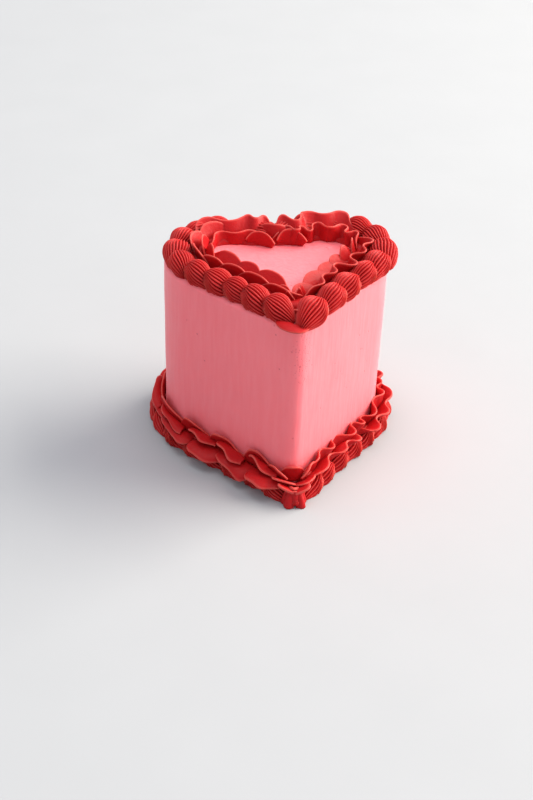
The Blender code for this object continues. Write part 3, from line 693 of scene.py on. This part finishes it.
def top_frill():
    """Each row of the first lists is distance from the tip, length, root, height, lean, bend and skew."""
    right_tiles = [
        (14, 20, -2.6, 9.5, -40, -8, 0.1), (31, 27, -3.0, 11.0, -43, -8, 0.0),
        (48, 23, -3.0, 11.0, -42, -8, 0.1), (61, 20, -2.8, 11.5, -38, -8, 0.2),
        (73, 19, -2.4, 14.0, -26, -8, 0.3), (85, 17, -1.8, 15.0, -10, -4, 0.3)]
    left_tiles = [
        (12, 14, -2.0, 9.0, -22, -10, -0.1), (27, 31, -2.6, 14.5, -38, -8, 0.0),
        (47, 25, -2.6, 14.5, -36, -8, 0.1), (66, 36, -2.6, 15.0, -34, -8, 0.0),
        (84, 19, -2.0, 15.0, -14, -2, 0.2), (95, 18, -1.2, 15.5, 4, 8, 0.1)]
    left_rims = [
        (11, 32, 1.6, 12.0, 0, 6, 0.0), (31, 30, 1.8, 13.6, 0, 6, 0.0), (50, 27, 1.8, 14.2, 2, 6, 0.1),
        (67, 24, 2.0, 14.2, 4, 8, 0.0), (82, 22, 2.4, 15.4, 12, 10, 0.0), (97, 22, 2.8, 16.2, 18, 12, 0.1),
        (111, 22, 2.8, 16.6, 22, 12, 0.0)]
    spikes = [
        (3, 7, 0.0, 13.0, 4, 2, 0.3), (7, 6, 1.0, 12.0, -14, -6, -0.2), (-3, 7, 0.5, 11.5, 12, 4, 0.2)]
    parts = []
    for mirror, rows in ((1, right_tiles), (-1, left_tiles), (-1, left_rims), (1, spikes)):
        for distance, length, root, height, lean, bend, skew in rows:
            low, shoulders = (0.18, 1.5) if rows is spikes else (0.30, 2.3)
            parts.append(leaf(
                top_half, mirror * distance, length, TOP_BASE, root, height, lean, bend=bend,
                drift=mirror * 1.3, twist=-mirror * 4, skew=-mirror * skew, low=low, shoulders=shoulders,
                shift=TOP_SHIFT, seed=300 + len(parts)))
    right_outer = ribbon(
        top_half, 3, 98, TOP_BASE, 2.4, 14.6, 4, (20, 66), 18, bend=12, shift=TOP_SHIFT, seed=341)
    left_back = ribbon(
        top_half, -TOP_SIDE + 2, -98, TOP_BASE, -2.4, 10.5, -8, (18, 50), 24, bend=6, shift=TOP_SHIFT,
        seed=342)
    right_back = ribbon(
        top_half, 86, TOP_SIDE + 5, TOP_BASE, -0.6, 12.8, 0, (38, 84), 15.5, bend=6, shift=TOP_SHIFT, seed=343)
    right_crown = ribbon(
        top_half, 100, TOP_SIDE + 3, TOP_BASE, 4.2, 18.6, 24, (20, 64), 21, bend=26, uneven=0.04,
        shift=TOP_SHIFT, seed=344)
    left_crown = ribbon(
        top_half, -TOP_SIDE - 3, -100, TOP_BASE, 4.2, 18.4, 24, (16, 60), 20, bend=26, uneven=0.04,
        shift=TOP_SHIFT, seed=345)
    cleft_leaves = (
        (TOP_SIDE - 9, 17, -1.5, 13.0, -8, 22, 6.0), (TOP_SIDE + 1, 22, 1.5, 15.0, 2, 26, -6.0),
        (TOP_SIDE + 12, 17, -1.0, 12.0, -10, 20, 5.0))
    for distance, length, root, height, lean, bend, cup in cleft_leaves:
        parts.append(leaf(
            top_half, distance, length, TOP_BASE, root, height, lean, bend=bend, cup=cup, drift=3.0, low=0.50,
            shoulders=3.2, shift=TOP_SHIFT, seed=380 + len(parts)))
    lip = leaf(
        heart_half(0, 8, 7), -6, 22, CAKE_HEIGHT + 0.2, -3.2, 9.0, 68, bend=50, low=0.5, thick=(3.0, 1.3),
        shift=0.5, seed=399)
    between = leaf(
        heart_half(6, 6, 9), 5, 30, CAKE_HEIGHT - 1.0, -4.0, 9.5, -2, bend=10, low=0.6, thick=(3.0, 1.6),
        ripple=0.8, shift=TOP_SHIFT, seed=398)
    return parts + [right_outer, left_back, right_back, right_crown, left_crown, lip, between]


def bed(half, middle, reach, base, height, shift, seed):
    """A low mound all round: an ellipse of reach and height, swept along the heart and closed both ways."""
    ways = np.linspace(0, 2 * half[4, -1], 420, endpoint=False)[:, None]
    turn = np.linspace(0, 2 * math.pi, 20, endpoint=False)[None, :]
    point, normal = on_heart(half, ways + 0 * turn)
    out = middle + reach * np.cos(turn)
    up = base + height * np.sin(turn) * (1 + 0.15 * np.sin(ways * 2 * math.pi / 11))
    points = np.concatenate([point + normal * out[..., None], up[..., None]], -1)
    points[..., 0] += shift
    points = points + np.stack([wobble(points, seed + k, 12.0) for k in range(3)], -1) * 0.5
    index = np.arange(ways.size * turn.size).reshape(ways.size, turn.size)
    index = np.vstack([index, index[:1]])
    index = np.hstack([index, index[:, :1]])
    points = points.reshape(-1, 3)
    return points, facing_out(points, grid_faces(index)), np.zeros(len(points))


top_bed = bed(top_half, middle=3.2, reach=5.6, base=CAKE_HEIGHT - 0.5, height=4.2, shift=TOP_SHIFT, seed=420)
make_piece("piped_top_frill", top_frill() + [top_bed], RED, "top_frill")

# %% [markdown]
# ### The frill at the foot
#
# The same double row, larger. On the left each flick of the tip left three leaves: one that stands against
# the side, one that curls out over it, and a big one that hangs down over the shells. Their rims ripple, and
# no two are alike. On the right the tip was waved, so the flaps curl and leave small hollows at the side of
# the cake. A few short leaves close the gap at the tip, where the two rows meet.

# %% Base frill
base_half = heart_half(0, 8, 9)
BASE_SIDE = base_half[4, -1]
print("the base frill is", round(2 * BASE_SIDE), "mm long")


GROUP_STEP = 29


def base_frill():
    """Left: groups of three leaves 29 mm apart, the first one shorter, with every other group swung out.

    Right: a ribbon against the side and a leaning one in front of it. The rows of tip_leaves are distance
    from the tip, length, base, root, height, lean, bend and drift.
    """
    draw = random.Random(47)
    parts = []
    count = round(BASE_SIDE / GROUP_STEP)
    step = BASE_SIDE / count
    for k in range(count):
        at = -(k + 0.62 + draw.uniform(-0.08, 0.08)) * step
        swing = 1 if k % 2 else -1
        parts.append(leaf(
            base_half, at - 4, step * draw.uniform(0.95, 1.1), 11.0, 1.6, draw.uniform(15.0, 17.0),
            draw.uniform(0, 10), bend=draw.uniform(6, 26), drift=-1.0, skew=draw.uniform(-0.7, -0.3), low=0.30,
            shoulders=2.2, thick=(2.2, 1.3), ripple=0.9, seed=500 + k, lobe_share=0.62))
        parts.append(leaf(
            base_half, at + draw.uniform(-2, 4), step * draw.uniform(0.72, 0.92), 15.0, 2.2,
            draw.uniform(11.0, 14.0), draw.uniform(24, 44), bend=draw.uniform(56, 90), drift=1.8 + swing,
            twist=draw.uniform(10, 30), cup=-1.0, skew=draw.uniform(-0.5, 0.0), shoulders=3.4, low=0.55,
            thick=(3.0, 1.6), ripple=1.3, seed=530 + k, lobe_share=0.62))
        further, shorter = (9, 1) if k else (2, 0.7)
        parts.append(leaf(
            base_half, at + further + draw.uniform(-2, 2), step * draw.uniform(0.86, 1.0) * shorter, 11.0, 3.0,
            draw.uniform(15.5, 19.0), draw.uniform(50, 66), bend=draw.uniform(50, 72), drift=-1.0 + swing,
            twist=draw.uniform(-6, 20), cup=-1.5, skew=draw.uniform(-0.3, 0.4), shoulders=3.8, low=0.50,
            thick=(3.2, 1.7), ripple=1.2, seed=560 + k, lobe_share=0.40))
    tip_leaves = (
        (0, 12, 10.5, 1.6, 14.0, 4, 10, 0.5), (-10, 14, 10.5, 2.2, 13.5, 10, 22, 2.0),
        (11, 14, 10.5, 2.2, 13.5, 10, 26, -2.0), (-5, 10, 10.0, 4.4, 11.0, 26, 40, 1.5),
        (6, 10, 9.5, 4.8, 11.0, 30, 44, -1.5))
    for at, length, base, root, height, lean, bend, drift in tip_leaves:
        parts.append(leaf(
            base_half, at, length, base, root, height, lean, bend=bend, drift=drift, low=0.45,
            thick=(2.6, 1.4), shoulders=2.8, ripple=0.5, seed=600 + len(parts)))
    wall = ribbon(
        base_half, 5, BASE_SIDE + 3, 11.5, 3.0, 10.5, 4, (24, 66), 19, bend=8, thick=(2.2, 1.3), seed=590,
        lobe_share=0.62)
    flaps = ribbon(
        base_half, 4, BASE_SIDE + 4, 10.0, 4.2, 12.0, 34, (18, 66), 22, bend=30, uneven=0.12, thick=(3.0, 1.5),
        seed=591, lobe_share=0.62)
    return parts + [wall, flaps]


make_piece("piped_base_frill", base_frill(), RED, "base_frill")

# %% [markdown]
# ### The flower at the tip
#
# Where the two rows of the foot meet, a small flower covers the join: petals that splay at their feet, three
# flaps that spread over them, and a ridged core that fills the inside.

# %% Tip flower
FLOWER_MIDDLE = np.array([0.0, -6.0])


def petal(heading, reach, low_end, top, width, lean, seed):
    """A rounded petal from low_end up to top: a superellipse in u and v, cupped across.

    Out = reach + tan(lean) x tall v^1.5 - 3.4 u^2 + 0.4 sin(3 u), so a lean below 0 splays the foot.
    """
    draw = np.random.default_rng(seed)
    u = np.sin(np.linspace(-math.pi / 2, math.pi / 2, 25))[:, None]
    v = np.sin(np.linspace(0, math.pi / 2, 21))[None, :]
    tall = (top - low_end) * (0.45 + 0.55 * (1 - np.abs(u) ** 2.4))
    across = width / 2 * u * (0.80 + 0.35 * v)
    out = reach + math.tan(lean) * tall * v ** 1.5 - 3.4 * u ** 2 + 0.4 * np.sin(3 * u + draw.uniform(0, 6))
    forward = np.array([math.cos(heading), math.sin(heading)])
    sideways = np.array([-forward[1], forward[0]])
    flat = FLOWER_MIDDLE + forward * out[..., None] + sideways * (across + 0 * v)[..., None]
    middle = np.concatenate([flat, (low_end + tall * v + 0 * u)[..., None]], -1)
    rim = np.minimum(1, (1 - v) / 0.08) * np.ones_like(u)
    end = np.minimum(1, (1 - np.abs(u)) / 0.08)
    # edge rises to 1 at the rim, where the red paints a highlight.
    edge = np.clip((v - 0.8) / 0.2, 0, 1) * np.ones_like(u)
    return thin_sheet(middle, (3.6 * (1 - v) + 1.8 * v) / 2 * quarter_circle(rim) * quarter_circle(end), edge)


def tip_flower():
    """Five petals and three flaps. Each row is heading in degrees, reach, low end, top, width and lean."""
    rows = (
        (-165, 7.0, 0.4, 10.5, 8.0, -0.20), (-126, 9.4, 0.2, 11.5, 6.5, -0.34),
        (-92, 7.0, 2.6, 13.0, 7.0, -0.10), (-56, 9.6, 0.2, 11.5, 6.0, -0.34),
        (-14, 7.0, 0.4, 10.5, 8.0, -0.20),
        (-170, 2.2, 8.6, 15.2, 12.0, 0.95), (-112, 1.6, 10.0, 14.2, 7.0, 0.70),
        (-24, 2.2, 8.6, 15.2, 13.0, 0.98))
    parts = []
    for k, (heading, reach, low_end, top, width, lean) in enumerate(rows):
        parts.append(petal(math.radians(heading), reach, low_end, top, width, lean, 700 + k))
    core_place = (np.array([0.0, -7.0]), np.array([0.0, -1.0]), np.array([1.0, 0.0]), 0.55)
    core = shell(core_place, 6.0, 0.0, ribs=12, depth=0.12, wind=1.0, rows=24, per_rib=6, seed=720)
    return parts + [core]


make_piece("piped_tip_flower", tip_flower(), RED, "tip_flower")

# %% [markdown]
# ## Light, floor and camera
#
# A bright studio: pale surroundings fill every shadow, and one large soft lamp stands behind the cake on the
# right. It rakes over the top and the right side, and the left side falls into a warm shade. A weak lamp
# overhead lifts the top and lightens the shadow on the floor.

# %% Floor
def pale_floor():
    """A level square, pale matt card with a faint mottle."""
    material, tree, shader = new_material("pale_matt_card")
    place = add(tree, "TexCoord")
    mottle = add(tree, "TexNoise", {"Vector": place.outputs["Object"], "Scale": 14.0, "Detail": 3.0})
    tint = add(tree, "MixRGB", {
        "Fac": mottle.outputs["Fac"], "Color1": linear("#AAACAF"), "Color2": linear("#A6A8AB")})
    tree.links.new(tint.outputs["Color"], shader.inputs["Base Color"])
    shader.inputs["Roughness"].default_value = 0.8
    mesh = bpy.data.meshes.new("floor")
    mesh.from_pydata([(-6, -6, 0), (6, -6, 0), (6, 6, 0), (-6, 6, 0)], [], [(0, 1, 2, 3)])
    mesh.materials.append(material)
    floor = bpy.data.objects.new("floor", mesh)
    bpy.context.scene.collection.objects.link(floor)
    floor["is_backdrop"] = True


pale_floor()

# %% Lamps and surroundings
def soft_lamp(name, spot, size, power, colour):
    """A square area lamp that faces the middle of the cake."""
    lamp = bpy.data.lights.new(name, "AREA")
    lamp.size = size
    lamp.energy = power
    lamp.color = linear(colour)[:3]
    made = bpy.data.objects.new(name, lamp)
    aim = Vector((0, 0, 0.08)) - Vector(spot)
    made.rotation_mode = "QUATERNION"
    made.rotation_quaternion = aim.to_track_quat("-Z", "Y")
    made.location = spot
    bpy.context.scene.collection.objects.link(made)


soft_lamp("key", (3.45, 0.55, 2.05), 3.8, 430.0, "#FFF8EC")
soft_lamp("overhead", (0.0, 0.3, 3.0), 2.0, 34.0, "#FFFFFF")

world = bpy.data.worlds.new("bright_room")
world.use_nodes = True
world.node_tree.nodes["Background"].inputs["Color"].default_value = linear("#F1F4FB")
world.node_tree.nodes["Background"].inputs["Strength"].default_value = 0.80
bpy.context.scene.world = world
bpy.context.scene.view_settings.view_transform = "Standard"

# %% Camera
def camera():
    """A 67.5 mm lens 1.08 m away, looking down 34 degrees, and turned 2.2 degrees about its own axis."""
    data = bpy.data.cameras.new("camera")
    data.lens = 67.5
    data.clip_start = 0.01
    back = Vector((-0.1367, -0.8170, 0.5602)).normalized()
    level = (-back).cross(Vector((0, 0, 1))).normalized()
    upright = level.cross(-back)
    roll = math.radians(2.22)
    right = level * math.cos(roll) + upright * math.sin(roll)
    above = upright * math.cos(roll) - level * math.sin(roll)
    made = bpy.data.objects.new("camera", data)
    target = Vector(TIP) + Vector((-7.35, 77.27, 27.9)) * MM
    turned = Matrix((right, above, back)).transposed().to_4x4()
    made.matrix_world = Matrix.Translation(target + back * 1.0835) @ turned
    bpy.context.scene.collection.objects.link(made)
    bpy.context.scene.camera = made


camera()

# %% [markdown]
# ## Last checks
#
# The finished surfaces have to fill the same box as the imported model, so both boxes are kept.

# %% Sizes
bpy.context.view_layer.update()
looks_box = [list(corner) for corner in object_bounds()]
for name, box in (("CAD", cad_box), ("visual", looks_box)):
    print(name, "box in mm:", [round((box[1][i] - box[0][i]) / MM, 1) for i in range(3)])
